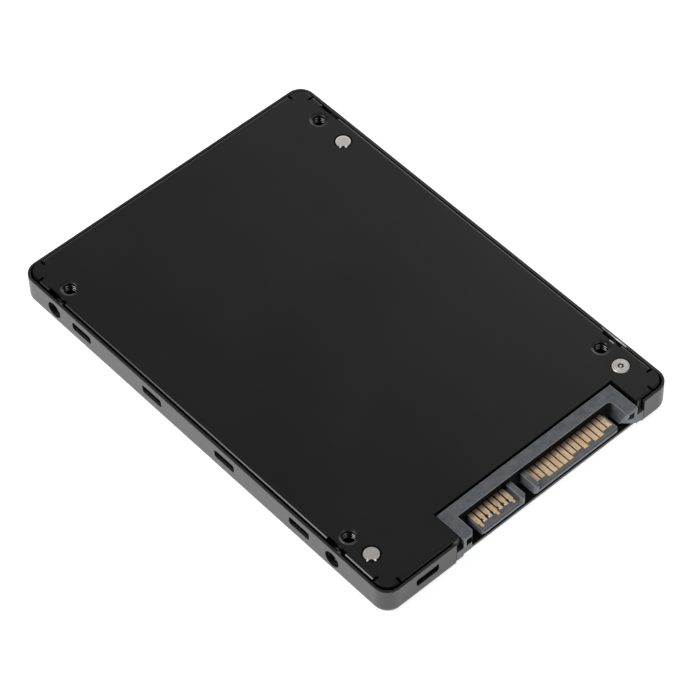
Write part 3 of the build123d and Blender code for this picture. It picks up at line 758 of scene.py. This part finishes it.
# the floor glows a little less under the drive than far off, where it meets the white backdrop
FLOOR_GLOW = 0.8
FLOOR_GLOW_FAR = 1.0
FLOOR_NEAR = 0.15
FLOOR_FAR = 0.9
FLOOR_SIZE = 3.0
FLOOR_DROP = 0.05 * MM
floor_mesh = bpy.data.meshes.new("floor")
build = bmesh.new()
bmesh.ops.create_grid(build, x_segments=1, y_segments=1, size=FLOOR_SIZE)
build.to_mesh(floor_mesh)
build.free()
floor = bpy.data.objects.new("floor", floor_mesh)
floor.location.z = cad_low.z - FLOOR_DROP
bpy.context.scene.collection.objects.link(floor)
floor_shader = Shader("floor_white")
from_drive = floor_shader.radius(*floor_shader.axes()[:2])
floor_glow = floor_shader.ramp(from_drive, FLOOR_NEAR, FLOOR_FAR, FLOOR_GLOW, FLOOR_GLOW_FAR)
floor_mesh.materials.append(
    floor_shader.finish(
        Base_Color=(0.9, 0.9, 0.9),
        Roughness=0.9,
        Emission_Color=(1.0, 1.0, 1.0),
        Emission_Strength=floor_glow,
    )
)

centre = (cad_low + cad_high) / 2


def towards(azimuth, elevation):
    """Direction from the drive, with both angles in radians."""
    return Vector(
        (
            math.sin(azimuth) * math.cos(elevation),
            -math.cos(azimuth) * math.cos(elevation),
            math.sin(elevation),
        )
    )


def soft_light(name, azimuth, elevation, distance, size, power):
    """Square soft box that faces the drive from the given direction, in degrees."""
    data = bpy.data.lights.new(name, "AREA")
    data.shape = "SQUARE"
    data.size = size
    data.energy = power
    light = bpy.data.objects.new(name, data)
    away = towards(math.radians(azimuth), math.radians(elevation))
    light.location = centre + away * distance
    light.rotation_mode = "QUATERNION"
    light.rotation_quaternion = away.to_track_quat("Z", "Y")
    bpy.context.scene.collection.objects.link(light)


soft_light("left_box", -116, 38, 0.9, 0.6, 5.5)
soft_light("front_box", 10, 42, 1.0, 0.7, 1.3)
soft_light("rear_right_box", 116, 34, 0.8, 0.32, 0.65)
soft_light("rear_box", 145, 27, 0.9, 0.4, 0.45)
soft_light("top_left_box", -125, 62, 0.9, 0.4, 0.84)
soft_light("top_right_box", 45, 62, 0.9, 0.4, 0.84)

# the backdrop looks white but throws hardly any light, so the black metal stays deep
WORLD_DIM = 0.03
WORLD_SEEN = 1.0
world = bpy.data.worlds.new("studio")
world.use_nodes = True
background = world.node_tree.nodes["Background"]
light_path = world.node_tree.nodes.new("ShaderNodeLightPath")
brightness = world.node_tree.nodes.new("ShaderNodeMapRange")
brightness.inputs["To Min"].default_value = WORLD_DIM
brightness.inputs["To Max"].default_value = WORLD_SEEN
world.node_tree.links.new(light_path.outputs["Is Camera Ray"], brightness.inputs["Value"])
world.node_tree.links.new(brightness.outputs["Result"], background.inputs["Strength"])
background.inputs["Color"].default_value = (1.0, 1.0, 1.0, 1.0)
bpy.context.scene.world = world
bpy.context.scene.view_settings.view_transform = "Standard"

CAMERA_AZIMUTH = math.radians(-41.05)
CAMERA_ELEVATION = math.radians(51.30)
CAMERA_ROLL = math.radians(-1.489)
CAMERA_DISTANCE = 0.60994
CAMERA_LENS = 170.33
SENSOR_WIDTH = 36.0
AIM = Vector((0.82, -1.31, 0.0)) * MM

camera_data = bpy.data.cameras.new("camera")
camera_data.sensor_width = SENSOR_WIDTH
camera_data.lens = CAMERA_LENS
camera = bpy.data.objects.new("camera", camera_data)
back = towards(CAMERA_AZIMUTH, CAMERA_ELEVATION)
right = Vector((math.cos(CAMERA_AZIMUTH), math.sin(CAMERA_AZIMUTH), 0.0))
up = back.cross(right)
turned_right = right * math.cos(CAMERA_ROLL) + up * math.sin(CAMERA_ROLL)
turned_up = up * math.cos(CAMERA_ROLL) - right * math.sin(CAMERA_ROLL)
axes = Matrix((turned_right, turned_up, back)).transposed()
camera.matrix_world = Matrix.Translation(AIM + back * CAMERA_DISTANCE) @ axes.to_4x4()
camera_data.clip_start = 0.01
camera_data.clip_end = 20.0
bpy.context.scene.collection.objects.link(camera)
bpy.context.scene.camera = camera
